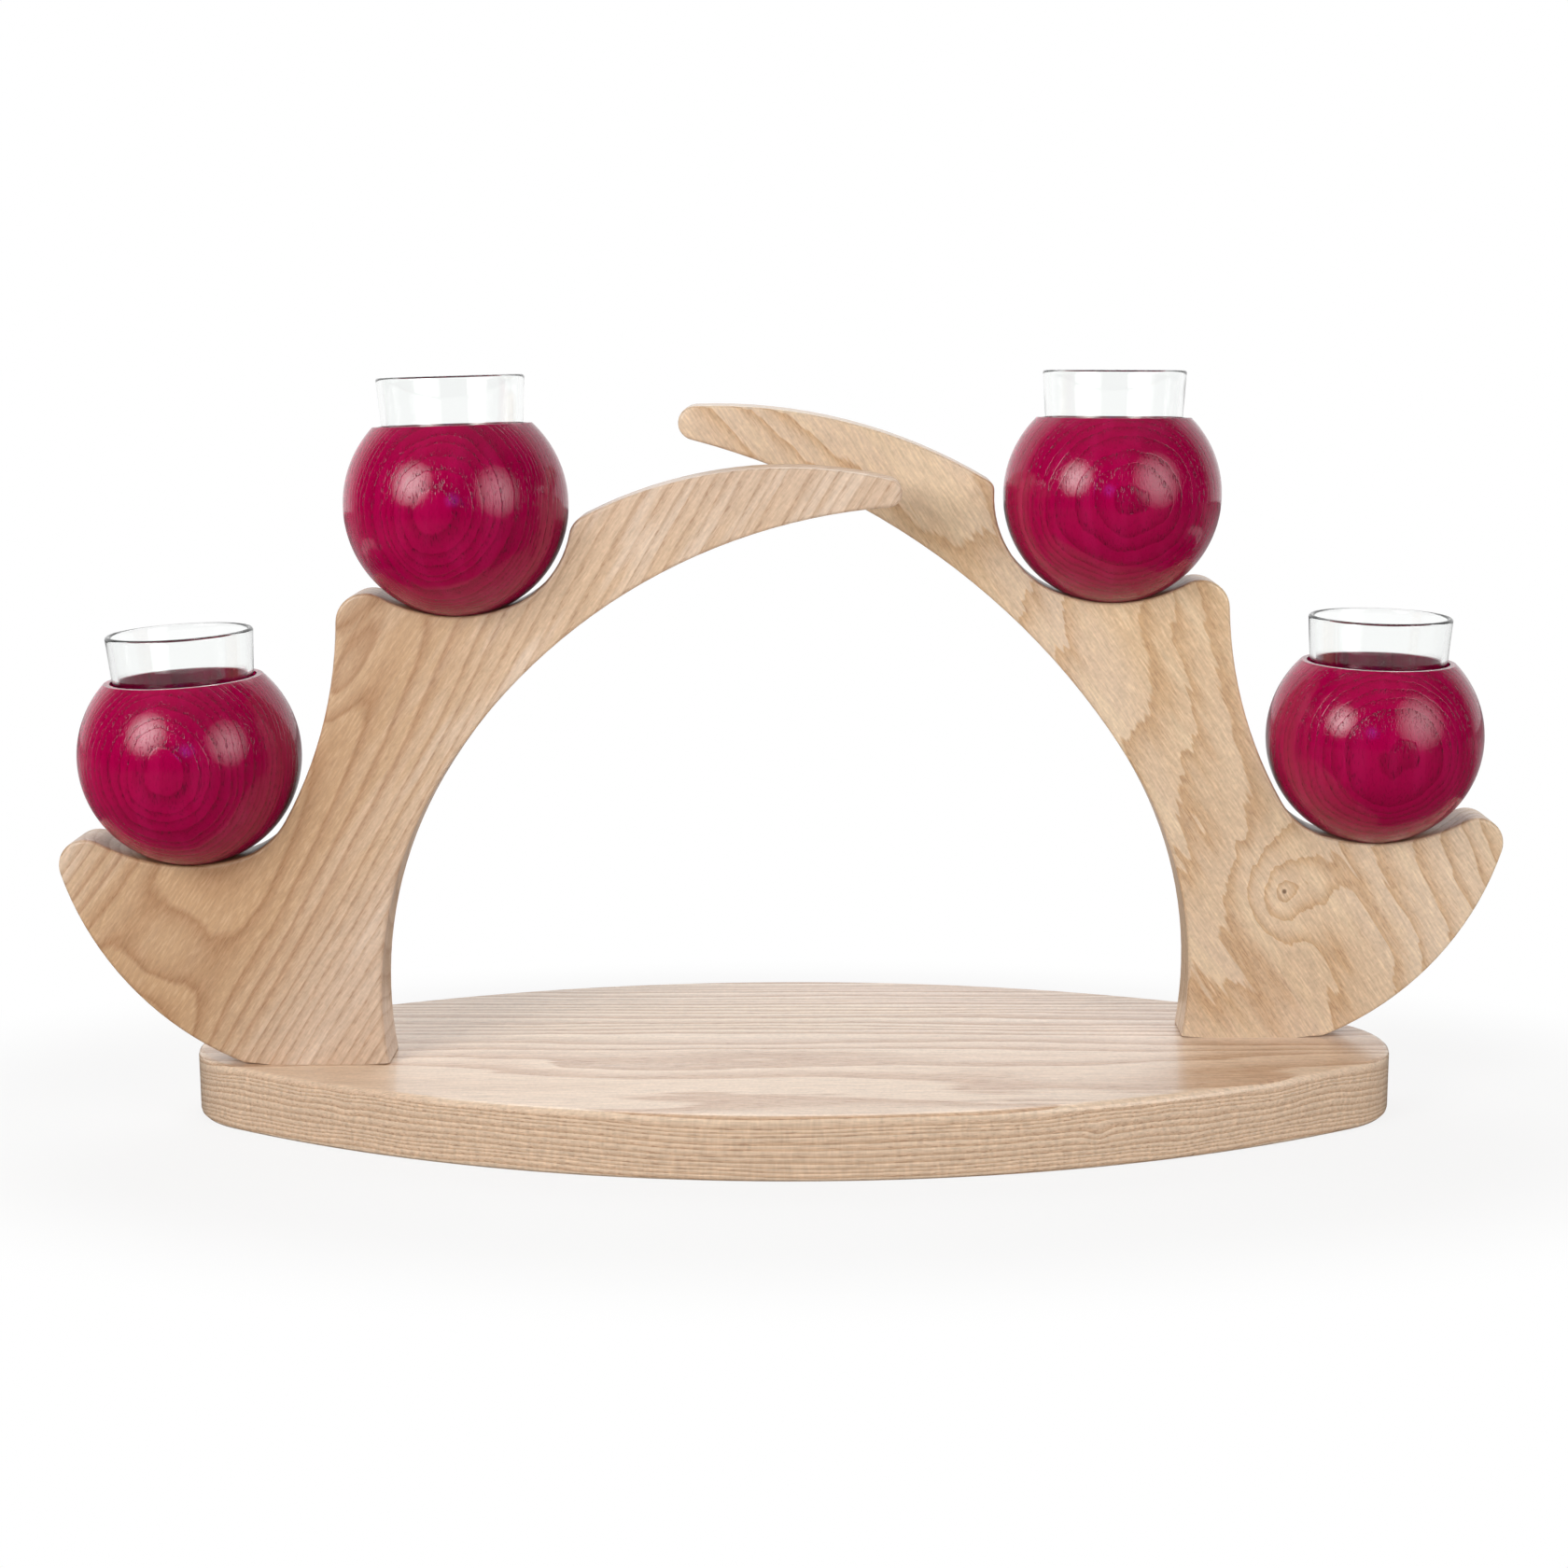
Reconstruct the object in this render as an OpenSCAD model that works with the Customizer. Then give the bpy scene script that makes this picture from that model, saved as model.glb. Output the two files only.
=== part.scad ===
// Advent candle holder: two interlaced ash arches on a boat-shaped ash base carry
// four turned and stained ash balls, each bored for a tapered tea-light glass.
// Origin: middle of the underside of the base. +X right, +Y to the back, +Z up.

/* [Base] */
// Length of the base plate
base_len = 419; // [400:1:450]
// Width of the base plate at its middle
base_w = 169.5; // [150:0.5:190]
// Thickness of the base plate
base_t = 22.5; // [18:0.5:28]
// Radius of the rounded noses at both ends
base_nose_r = 35; // [28:1:42]
// Rounding of the base's edges
base_edge_r = 2; // [0.5:0.5:4]

/* [Arches] */
// Thickness of each arch
arch_t = 21; // [17:0.5:25]
// Clear space between the two arches
arch_gap = 12; // [6:1:18]
// Rounding of the arches' long edges
arch_edge_r = 1.2; // [0.4:0.1:1.6]
// From the end of the base to the outer end of a foot
foot_margin = 22.3; // [18:0.1:30]
// Length of a foot along the base
foot_len = 49; // [44:0.5:56]
// Height of the relief under both ends of a foot
foot_relief = 0.4; // [0.2:0.1:0.8]
// Length of the relief under each end of a foot
foot_relief_len = 8; // [4:1:12]
// How far the centre of the outer flank's arc lies inside the outer end of the foot
flank_back = 38.9; // [32:0.1:46]
// Height of the flank arc's centre above the base
flank_rise = 97; // [85:0.5:110]
// Radius of the lobe outside the lower ball
lower_lobe_r = 9.2; // [7:0.2:12]
// Radius of the saddle under the lower ball
lower_saddle_r = 63.5; // [55:0.5:75]
// Radius of the bay between the lower ball and the neck
lower_bay_r = 28; // [24:0.5:32]
// Radius of the neck's hollow outer side
neck_r = 146; // [125:1:170]
// Height of the neck's waist above the centre of the lower ball
neck_rise = 52; // [44:0.5:60]
// Clear space between the neck and the lower ball
neck_gap = 2.1; // [1:0.1:4]
// Radius of the lobe outside the upper ball
upper_lobe_r = 10; // [8:0.2:12]
// Radius of the saddle under the upper ball
upper_saddle_r = 52; // [46:0.5:60]
// How far the upper saddle runs on beyond its seat before it turns into the bay
saddle_run = 0.7; // [0.3:0.1:2]
// Radius of the inner side of the leg
leg_r = 143; // [120:1:165]
// Height of the leg arc's centre above the base
leg_rise = 23; // [18:0.5:28]
// Direction in which the leg turns into the arm's underside, from level
crook_angle = 31.5; // [27:0.5:36]

/* [Front arch] */
// Clear space between the upper ball and the bay beside it
front_bay_gap = 1.7; // [1:0.1:4]
// Height of the arm's root over the centre of the upper ball
front_root_rise = -5.3; // [-10:0.1:6]
// Rounding of the arm's root
front_root_r = 8; // [5:0.5:12]
// From the middle of the holder to the arm's crest
front_crest_reach = 1; // [-10:0.5:10]
// Height of the arm's crest over the centre of the upper ball
front_crest_rise = 12.6; // [8:0.2:24]
// Clear space between the arm's tip and the upper ball of the rear arch
front_tip_gap = 36; // [24:0.5:50]
// Rounding of the arm's tip
front_tip_r = 4.6; // [3.6:0.2:6]

/* [Rear arch] */
// Clear space between the upper ball and the bay beside it
rear_bay_gap = 3.7; // [1:0.1:5]
// Height of the arm's root over the centre of the upper ball
rear_root_rise = 4.5; // [-4:0.1:10]
// Rounding of the arm's root
rear_root_r = 4; // [2:0.5:6]
// From the middle of the holder to the arm's crest
rear_crest_reach = -26; // [-34:0.5:-10]
// Height of the arm's crest over the centre of the upper ball
rear_crest_rise = 31.6; // [24:0.2:40]
// Clear space between the arm's tip and the upper ball of the front arch
rear_tip_gap = 35.7; // [24:0.5:50]
// Rounding of the arm's tip
rear_tip_r = 5.8; // [4.6:0.2:7]

/* [Balls] */
// Diameter of each turned ball
ball_d = 75; // [73:0.5:78]
// How far the centre of a lower ball lies outside the outer end of the foot
ball_overhang = 17.3; // [10:0.1:24]
// Height of a lower ball's centre above the base
lower_ball_rise = 106.4; // [95:0.2:120]
// How far the centre of an upper ball lies inside that of the lower one
ball_step_in = 93.3; // [84:0.1:102]
// How far the centre of an upper ball lies above that of the lower one
ball_step_up = 84.8; // [76:0.1:96]
// How far a ball is let down into its saddle
seat_sink = 1.1; // [0.6:0.1:1.6]
// Width of the flat ring round the bore
bore_lip = 2; // [1.2:0.1:3]
// Outward lean of the bore in the lower left ball, in degrees
lower_left_lean = 2.5; // [0:0.5:4]
// Outward lean of the bore in the upper left ball, in degrees
upper_left_lean = 1.5; // [0:0.5:4]
// Outward lean of the bore in the upper right ball, in degrees
upper_right_lean = 0.5; // [0:0.5:4]
// Outward lean of the bore in the lower right ball, in degrees
lower_right_lean = 1; // [0:0.5:4]
// Backward tilt of the bores in both upper balls, in degrees
upper_tilt = 1.8; // [0:0.2:3]

/* [Glasses] */
// Outer diameter of a glass at its rim
glass_rim_d = 49.2; // [47:0.2:52]
// Outer diameter of a glass at its foot
glass_foot_d = 43.6; // [42:0.2:46]
// Height of a glass
glass_h = 40; // [36:0.5:44]
// Wall of a glass
glass_wall = 1.9; // [1.4:0.1:2.4]
// Floor of a glass
glass_floor = 3.6; // [2.5:0.1:5]
// How far a glass stands out of its ball
glass_stand = 16; // [12:0.5:20]
// Clearance round a glass where it leaves its bore
bore_clear = 1; // [0.6:0.1:1.6]
// Play between a glass and the floor of its bore
glass_play = 0.1; // [0.05:0.05:0.2]

/* [Joinery] */
// Diameter of the dowel under each ball
dowel_d = 8; // [6:0.5:10]
// How far a dowel reaches into its ball
dowel_in_ball = 13; // [10:0.5:18]
// How far a dowel reaches into its arch
dowel_in_arch = 15; // [10:0.5:20]
// Chamfer of a dowel's ends
dowel_chamfer = 1; // [0.5:0.1:1.5]
// Outer diameter of a foot screw's thread
screw_d = 5; // [4:0.5:6]
// Length of a foot screw with its head
screw_len = 50; // [44:1:56]
// Diameter of a foot screw's countersunk head
screw_head_d = 9.6; // [8.5:0.1:11]
// Distance between the two screws of a foot
screw_spacing = 24; // [18:1:28]
// How far the screw heads lie inside the underside of the base
screw_sink = 0.5; // [0.2:0.1:1]

/* [Hidden] */

// Sides of a full round
$fn = 96;
// Greatest height of an arc over its chord, for outlines drawn as points
chord_error = 0.03;
// Steps in the rounding of a slab's edge
edge_steps = 3;
// How far a cutter runs past what it cuts
overrun = 1;
// Radial room of a glued dowel or a driven screw in its hole
drive_fit = 0.05;
// Radial room of a screw in the base's clearance hole
screw_room = 0.25;
// Depth left free beyond the end of a dowel or a screw
end_room = 1;
// Length of a screw's point
screw_point = 6;
// Height of the straight rim of a screw's head
screw_rim = 0.4;
// Length, width and depth of the cross recess in a screw's head
recess_len = 5;
recess_w = 1.1;
recess_depth = 2.2;
// Rounding under the foot of a glass
glass_foot_r = 1.4;
// Rounding inside the floor of a glass
glass_floor_r = 2.5;

ball_r = ball_d / 2;
seat_drop = ball_r - seat_sink;
arch_offset = (arch_t + arch_gap) / 2;
foot_reach = base_len / 2 - foot_margin;
foot_inner = foot_reach - foot_len;
glass_lip_d = glass_rim_d - (glass_rim_d - glass_foot_d) * glass_stand / glass_h;
bore_d = glass_lip_d + 2 * bore_clear;
bore_depth = glass_h + glass_play - glass_stand;
ball_top_r = bore_d / 2 + bore_lip;
ball_top_rise = sqrt(ball_r * ball_r - ball_top_r * ball_top_r);

// Places of the balls' centres in the plane of their arch
LOWER = [foot_reach + ball_overhang, base_t + lower_ball_rise];
UPPER = LOWER + [-ball_step_in, ball_step_up];

// An outline is a chain of arcs that run on into each other. An arc is [x, y, r],
// its centre and its radius: positive where the wood is inside the arc, negative
// where the arc is a hollow in the wood.

function centre(arc) = [arc.x, arc.y];
function towards(a, b) = (b - a) / norm(b - a);

// Point at distance r1 from c1 and r2 from c2, on the given side of the line c1-c2
function crossing(c1, r1, c2, r2, side) =
  let (d = norm(c2 - c1), u = towards(c1, c2))
  let (along = (r1 * r1 - r2 * r2 + d * d) / (2 * d))
  c1 + along * u + side * sqrt(r1 * r1 - along * along) * [-u.y, u.x];

// Arc of radius r that touches the arcs a and b, which come before and after it
function blend(a, b, r, side) =
  let (near = abs(abs(a[2]) + (a[2] * r < 0 ? abs(r) : -abs(r))))
  let (far = abs(abs(b[2]) + (b[2] * r < 0 ? abs(r) : -abs(r))))
  concat(crossing(centre(a), near, centre(b), far, side), r);

// Where two touching arcs run into each other
function junction(a, b) =
  let (ahead = a[2] * b[2] < 0 || abs(a[2]) > abs(b[2]))
  centre(a) + towards(centre(a), centre(b)) * abs(a[2]) * (ahead ? 1 : -1);

function bearing(arc, p) = atan2(p.y - arc.y, p.x - arc.x);

// Points along an arc from p up to but not including q
function along_arc(arc, p, q) =
  let (r = abs(arc[2]), from = bearing(arc, p), turn = bearing(arc, q) - from)
  let (sweep = arc[2] > 0 ? (turn < 0 ? turn + 360 : turn) : (turn > 0 ? turn - 360 : turn))
  let (steps = max(2, ceil(abs(sweep) / (2 * acos(1 - chord_error / r)))))
  [for (i = [0 : steps - 1])
    centre(arc) + r * [cos(from + sweep * i / steps), sin(from + sweep * i / steps)]];

// Points of an open chain of arcs that starts at p and ends at q
function open_chain(arcs, p, q) =
  let (last = len(arcs) - 1)
  [for (i = [0 : last])
    each along_arc(
      arcs[i],
      i == 0 ? p : junction(arcs[i - 1], arcs[i]),
      i == last ? q : junction(arcs[i], arcs[i + 1])
    ), q];

// Points of a closed chain of arcs
function closed_chain(arcs) =
  let (n = len(arcs))
  [for (i = [0 : n - 1])
    each along_arc(
      arcs[i],
      junction(arcs[(i + n - 1) % n], arcs[i]),
      junction(arcs[i], arcs[(i + 1) % n])
    )];

// Step that moves corner i of a counterclockwise outline inwards by one unit
function inward(points, i) =
  let (n = len(points), a = points[(i + n - 1) % n], b = points[i], c = points[(i + 1) % n])
  let (d = towards(a, b), e = towards(b, c), m = [-d.y - e.y, d.x + e.x])
  m / (1 + d * e);

// Whether corner i of the outline ids can be cut off: it stands out, and the triangle
// that it makes with its two neighbours holds no other corner
function is_ear(points, ids, i) =
  let (n = len(ids), a = points[ids[(i + n - 1) % n]], b = points[ids[i]], c = points[ids[(i + 1) % n]])
  cross(b - a, c - b) > 0 && len([
    for (id = ids)
      let (p = points[id])
      if (p != a && p != b && p != c
        && cross(b - a, p - a) >= 0 && cross(c - b, p - b) >= 0 && cross(a - c, p - c) >= 0) id
  ]) == 0;

// First corner from i on that can be cut off
function next_ear(points, ids, i) =
  is_ear(points, ids, i % len(ids)) ? i % len(ids) : next_ear(points, ids, i + 1);

// Triangles that fill a counterclockwise outline, cut off corner by corner
function triangles(points, ids, from) =
  len(ids) == 3 ? [ids] :
  let (n = len(ids), i = next_ear(points, ids, from))
  concat(
    [[ids[(i + n - 1) % n], ids[i], ids[(i + 1) % n]]],
    triangles(points, [for (k = [0 : n - 1]) if (k != i) ids[k]], i + 1)
  );

// Slab of thickness t on the plane z = 0, its two rims rounded to radius r.
// inwards holds the inward step of each point of the outline.
module slab(points, inwards, t, r) {
  n = len(points);
  rims = [
    for (k = [0 : edge_steps])
      let (a = 90 * k / edge_steps) [r * (1 - cos(a)), r * (1 - sin(a))],
    for (k = [edge_steps : -1 : 0])
      let (a = 90 * k / edge_steps) [t - r * (1 - cos(a)), r * (1 - sin(a))],
  ];
  rings = len(rims);
  flat = triangles([for (i = [0 : n - 1]) points[i] + inwards[i] * r], [for (i = [0 : n - 1]) i], 0);
  polyhedron(
    points = [for (rim = rims) for (i = [0 : n - 1]) concat(points[i] + inwards[i] * rim[1], rim[0])],
    faces = [
      each flat,
      for (face = flat) [for (k = [2 : -1 : 0]) (rings - 1) * n + face[k]],
      for (k = [0 : rings - 2]) for (i = [0 : n - 1])
        let (j = (i + 1) % n) each [
          [k * n + i, (k + 1) * n + i, k * n + j],
          [k * n + j, (k + 1) * n + i, (k + 1) * n + j],
        ],
    ],
    convexity = 8
  );
}

// Outline of the base: two side arcs that run into the two noses
function base_outline() =
  let (run = base_len / 2 - base_nose_r, half = base_w / 2)
  let (side_r = (run * run + half * half - base_nose_r * base_nose_r) / (2 * (half - base_nose_r)))
  closed_chain([
    [run, 0, base_nose_r],
    [0, half - side_r, side_r],
    [-run, 0, base_nose_r],
    [0, side_r - half, side_r],
  ]);

// Half the width of the seat that a ball has in a saddle
function seat_reach(saddle_r) =
  let (up = saddle_r - seat_drop)
  let (down = (saddle_r * saddle_r - ball_r * ball_r - up * up) / (2 * up))
  sqrt(ball_r * ball_r - down * down);

// Hollow arc beside the upper ball, gap away from it, that goes on from the upper saddle
function bay_arc(saddle, gap) =
  let (start = seat_reach(upper_saddle_r) + saddle_run, lean = acos(start / upper_saddle_r))
  let (r = (ball_r + gap - start) / (1 - cos(lean)))
  concat(centre(saddle) - (upper_saddle_r - r) * [cos(lean), sin(lean)], -r);

// Arc of an arm's top: it has its crest there and runs through the root
function arm_arc(crest, root) =
  let (drop = crest.y - root.y, r = (pow(crest.x - root.x, 2) + drop * drop) / (2 * drop))
  [crest.x, crest.y - r, r];

// Hollow arc of an arm's underside, from the leg's arc at the crook to the round tip
function under_arc(leg, tip) =
  let (lean = [cos(crook_angle), sin(crook_angle)], way = centre(tip) - centre(leg) - leg_r * lean)
  let (r = (way * way - tip[2] * tip[2]) / (2 * (tip[2] - way * lean)))
  concat(centre(leg) - (r - leg_r) * lean, -r);

// Outline of an arch, seen from the front, with its foot on y = 0 and to the right of x = 0
function arch_outline(bay_gap, root_rise, root_r, crest_reach, crest_rise, tip_gap, tip_r) =
  let (lower_ball = LOWER - [0, base_t], upper_ball = UPPER - [0, base_t])
  let (flank = [foot_reach - flank_back, flank_rise, norm([flank_back, flank_rise])])
  let (lower_saddle = concat(lower_ball + [0, lower_saddle_r - seat_drop], -lower_saddle_r))
  let (neck_shift = sqrt(pow(neck_r - ball_r - neck_gap, 2) - neck_rise * neck_rise))
  let (neck = concat(lower_ball + [neck_shift, neck_rise], -neck_r))
  let (upper_saddle = concat(upper_ball + [0, upper_saddle_r - seat_drop], -upper_saddle_r))
  let (bay = bay_arc(upper_saddle, bay_gap), root_y = upper_ball.y + root_rise)
  let (root = [bay.x - sqrt(bay[2] * bay[2] - pow(root_y - bay.y, 2)), root_y])
  let (arm = arm_arc([crest_reach, upper_ball.y + crest_rise], root))
  let (tip_x = ball_r + tip_gap + tip_r - upper_ball.x, tip_away = arm[2] - tip_r)
  let (tip = [tip_x, arm.y + sqrt(tip_away * tip_away - pow(tip_x - arm.x, 2)), tip_r])
  let (leg = [foot_inner - sqrt(leg_r * leg_r - leg_rise * leg_rise), leg_rise, -leg_r])
  let (heel = flank.x + sqrt(flank[2] * flank[2] - pow(flank_rise - foot_relief, 2)))
  let (toe = leg.x + sqrt(leg_r * leg_r - pow(leg_rise - foot_relief, 2)))
  concat(
    open_chain([
      flank,
      blend(flank, lower_saddle, lower_lobe_r, -1),
      lower_saddle,
      blend(lower_saddle, neck, -lower_bay_r, -1),
      neck,
      blend(neck, upper_saddle, upper_lobe_r, 1),
      upper_saddle,
      bay,
      blend(bay, arm, root_r, -1),
      arm,
      tip,
      under_arc(leg, tip),
      leg,
    ], [heel, foot_relief], [toe, foot_relief]),
    [[foot_inner + foot_relief_len, 0], [foot_reach - foot_relief_len, 0]]
  );

// Arch whose foot is to the right, standing on z = 0 with its middle plane at y = 0.
// The foot keeps its sharp lower edges, so it meets the base without a groove.
module arch_panel(outline) {
  steps = [
    for (i = [0 : len(outline) - 1])
      let (step = inward(outline, i)) outline[i].y > foot_relief ? step : [step.x, 0],
  ];
  translate([0, arch_t / 2, 0]) rotate([90, 0, 0]) slab(outline, steps, arch_t, arch_edge_r);
}

// What is bored out of an arch: the holes for its two dowels and for its foot screws
module arch_bores() {
  for (at = [LOWER, UPPER])
    translate([at.x, 0, at.y - seat_drop - dowel_in_arch - end_room])
      cylinder(h = dowel_in_arch + end_room + seat_sink + overrun, r = dowel_d / 2 + drive_fit);
  foot_screw_places()
    translate([0, 0, base_t - overrun])
      cylinder(h = screw_sink + screw_len + end_room - base_t + overrun, r = screw_d / 2 + drive_fit);
}

// Repeats what follows at the two screws of a right-hand foot
module foot_screw_places() {
  for (side = [-1, 1])
    translate([foot_inner + foot_len / 2 + side * screw_spacing / 2, 0, 0]) children();
}

// Puts a right-hand piece in the plane of the front arch, which stands on the left
module to_front() { translate([0, -arch_offset, 0]) mirror([1, 0, 0]) children(); }
// Puts a right-hand piece in the plane of the rear arch, which stands on the right
module to_rear() { translate([0, arch_offset, 0]) children(); }

// Room for a foot screw in the base: a clearance hole and its countersink
module screw_hole() {
  translate([0, 0, -overrun]) cylinder(h = base_t + 2 * overrun, r = screw_d / 2 + screw_room);
  translate([0, 0, -overrun])
    cylinder(h = screw_sink + screw_rim + overrun, r = screw_head_d / 2 + screw_room);
  translate([0, 0, screw_sink + screw_rim])
    cylinder(
      h = (screw_head_d - screw_d) / 2,
      r1 = screw_head_d / 2 + screw_room,
      r2 = screw_d / 2 + screw_room
    );
}

// Countersunk wood screw with a cross recess, head down
module foot_screw() {
  cone_h = (screw_head_d - screw_d) / 2;
  shank_h = screw_len - screw_rim - cone_h - screw_point;
  difference() {
    translate([0, 0, screw_sink]) union() {
      cylinder(h = screw_rim, r = screw_head_d / 2);
      translate([0, 0, screw_rim]) cylinder(h = cone_h, r1 = screw_head_d / 2, r2 = screw_d / 2);
      translate([0, 0, screw_rim + cone_h]) cylinder(h = shank_h, r = screw_d / 2);
      translate([0, 0, screw_rim + cone_h + shank_h]) cylinder(h = screw_point, r1 = screw_d / 2, r2 = 0);
    }
    for (turn = [0, 90])
      rotate([0, 0, turn])
        translate([-recess_len / 2, -recess_w / 2, screw_sink - overrun])
          cube([recess_len, recess_w, recess_depth + overrun]);
  }
}

// Turned ball, its centre at `at`: flat ring on top, straight bore for the glass, a seat
// let down into the saddle, and a dowel hole. The seat follows the saddle's own arc.
module ball(at, saddle_r, lean, tilt = 0) {
  translate([at.x, 0, at.y])
    difference() {
      intersection() {
        sphere(r = ball_r);
        translate([0, ball_r, saddle_r - seat_drop]) rotate([90, 0, 0]) cylinder(h = ball_d, r = saddle_r);
      }
      rotate([-tilt, lean, 0]) {
        translate([-ball_r, -ball_r, ball_top_rise]) cube([ball_d, ball_d, ball_r]);
        translate([0, 0, ball_top_rise - bore_depth]) cylinder(h = bore_depth + overrun, r = bore_d / 2);
      }
      translate([0, 0, -ball_r - overrun])
        cylinder(h = seat_sink + overrun + dowel_in_ball + end_room, r = dowel_d / 2 + drive_fit);
    }
}

// Tapered tea-light glass in its bore, its rim fully rounded
module glass(at, lean, tilt = 0) {
  slope = (glass_rim_d - glass_foot_d) / 2 / glass_h;
  foot_r = glass_foot_d / 2;
  inner_floor_r = foot_r + slope * glass_floor - glass_wall;
  inner_rim_r = glass_rim_d / 2 - glass_wall;
  rim_r = glass_wall / 2;
  translate([at.x, 0, at.y])
    rotate([-tilt, lean, 0])
      translate([0, 0, ball_top_rise + glass_stand - glass_h])
        rotate_extrude()
          polygon(concat(
            [[0, 0]],
            [for (a = [-90 : 15 : 0])
              [foot_r + slope * glass_foot_r - glass_foot_r, glass_foot_r] + glass_foot_r * [cos(a), sin(a)]],
            [for (a = [0 : 15 : 180])
              [inner_rim_r + rim_r, glass_h - rim_r] + rim_r * [cos(a), sin(a)]],
            [for (a = [0 : -15 : -90])
              [inner_floor_r - glass_floor_r, glass_floor + glass_floor_r]
                + glass_floor_r * [cos(a), sin(a)]],
            [[0, glass_floor]]
          ));
}

// Straight dowel through the seat of a ball, its ends chamfered
module dowel(at) {
  tip_r = dowel_d / 2 - dowel_chamfer;
  straight = dowel_in_ball + dowel_in_arch - 2 * dowel_chamfer;
  translate([at.x, 0, at.y - seat_drop - dowel_in_arch]) {
    cylinder(h = dowel_chamfer, r1 = tip_r, r2 = dowel_d / 2);
    translate([0, 0, dowel_chamfer]) cylinder(h = straight, r = dowel_d / 2);
    translate([0, 0, dowel_chamfer + straight]) cylinder(h = dowel_chamfer, r1 = dowel_d / 2, r2 = tip_r);
  }
}

module base_plate() {
  outline = base_outline();
  color("burlywood")
    difference() {
      slab(outline, [for (i = [0 : len(outline) - 1]) inward(outline, i)], base_t, base_edge_r);
      to_front() foot_screw_places() screw_hole();
      to_rear() foot_screw_places() screw_hole();
    }
}

module front_arch() {
  outline = arch_outline(front_bay_gap, front_root_rise, front_root_r, front_crest_reach, front_crest_rise,
    front_tip_gap, front_tip_r);
  color("tan") to_front() difference() {
    translate([0, 0, base_t]) arch_panel(outline);
    arch_bores();
  }
}

module rear_arch() {
  outline = arch_outline(rear_bay_gap, rear_root_rise, rear_root_r, rear_crest_reach, rear_crest_rise,
    rear_tip_gap, rear_tip_r);
  color("tan") to_rear() difference() {
    translate([0, 0, base_t]) arch_panel(outline);
    arch_bores();
  }
}

module ball_lower_left() { color("crimson") to_front() ball(LOWER, lower_saddle_r, lower_left_lean); }
module ball_upper_left() {
  color("crimson") to_front() ball(UPPER, upper_saddle_r, upper_left_lean, upper_tilt);
}
module ball_upper_right() {
  color("crimson") to_rear() ball(UPPER, upper_saddle_r, upper_right_lean, upper_tilt);
}
module ball_lower_right() { color("crimson") to_rear() ball(LOWER, lower_saddle_r, lower_right_lean); }

module glass_lower_left() { color("lightcyan", 0.5) to_front() glass(LOWER, lower_left_lean); }
module glass_upper_left() { color("lightcyan", 0.5) to_front() glass(UPPER, upper_left_lean, upper_tilt); }
module glass_upper_right() { color("lightcyan", 0.5) to_rear() glass(UPPER, upper_right_lean, upper_tilt); }
module glass_lower_right() { color("lightcyan", 0.5) to_rear() glass(LOWER, lower_right_lean); }

module dowel_lower_left() { color("wheat") to_front() dowel(LOWER); }
module dowel_upper_left() { color("wheat") to_front() dowel(UPPER); }
module dowel_upper_right() { color("wheat") to_rear() dowel(UPPER); }
module dowel_lower_right() { color("wheat") to_rear() dowel(LOWER); }

module front_foot_screws() { color("silver") to_front() foot_screw_places() foot_screw(); }
module rear_foot_screws() { color("silver") to_rear() foot_screw_places() foot_screw(); }

base_plate();
front_arch();
rear_arch();
ball_lower_left();
ball_upper_left();
ball_upper_right();
ball_lower_right();
glass_lower_left();
glass_upper_left();
glass_upper_right();
glass_lower_right();
dowel_lower_left();
dowel_upper_left();
dowel_upper_right();
dowel_lower_right();
front_foot_screws();
rear_foot_screws();
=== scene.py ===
"""Looks of the advent candle holder: wood, stain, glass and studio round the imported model.

The wood is solid. Every face, edge and bore of a piece is cut from year rings that run
right through it, so the figure on a face goes on over its edges.
"""

from __future__ import annotations

import logging
import math
from dataclasses import dataclass
from enum import Enum
from typing import Mapping, Sequence

import bmesh
import bpy
from mathutils import Matrix, Vector


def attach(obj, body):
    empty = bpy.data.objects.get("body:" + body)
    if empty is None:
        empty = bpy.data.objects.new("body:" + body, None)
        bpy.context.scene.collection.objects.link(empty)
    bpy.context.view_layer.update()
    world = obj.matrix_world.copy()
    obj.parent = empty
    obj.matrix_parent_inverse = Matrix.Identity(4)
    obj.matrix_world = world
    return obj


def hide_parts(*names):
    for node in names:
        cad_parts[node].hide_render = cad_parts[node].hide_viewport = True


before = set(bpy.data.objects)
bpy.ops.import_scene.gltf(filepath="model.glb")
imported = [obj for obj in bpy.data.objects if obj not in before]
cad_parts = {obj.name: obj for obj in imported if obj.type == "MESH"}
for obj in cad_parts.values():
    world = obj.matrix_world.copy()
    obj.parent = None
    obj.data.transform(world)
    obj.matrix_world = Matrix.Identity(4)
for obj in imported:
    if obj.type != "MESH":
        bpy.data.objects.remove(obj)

LOG = logging.getLogger("candle_holder")
Point = tuple[float, float, float]
Colour = tuple[float, float, float, float]
BLACK: Colour = (0.0, 0.0, 0.0, 1.0)
WHITE: Colour = (1.0, 1.0, 1.0, 1.0)
# Level that every noise lies round
MIDDLE = 0.5


def shown(red: float, green: float, blue: float) -> Colour:
    """Turn a colour as a screen shows it into the linear colour of the shaders.

    Args:
        red: Red, from 0 to 255.
        green: Green, from 0 to 255.
        blue: Blue, from 0 to 255.

    Returns:
        The linear colour, opaque.
    """
    toe, slope, offset, gamma, white = 0.04045, 12.92, 0.055, 2.4, 255.0

    def linear(level: float) -> float:
        """Take one channel out of the screen's curve."""
        share = level / white
        return share / slope if share <= toe else ((share + offset) / (1 + offset)) ** gamma

    return (linear(red), linear(green), linear(blue), 1.0)


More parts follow.
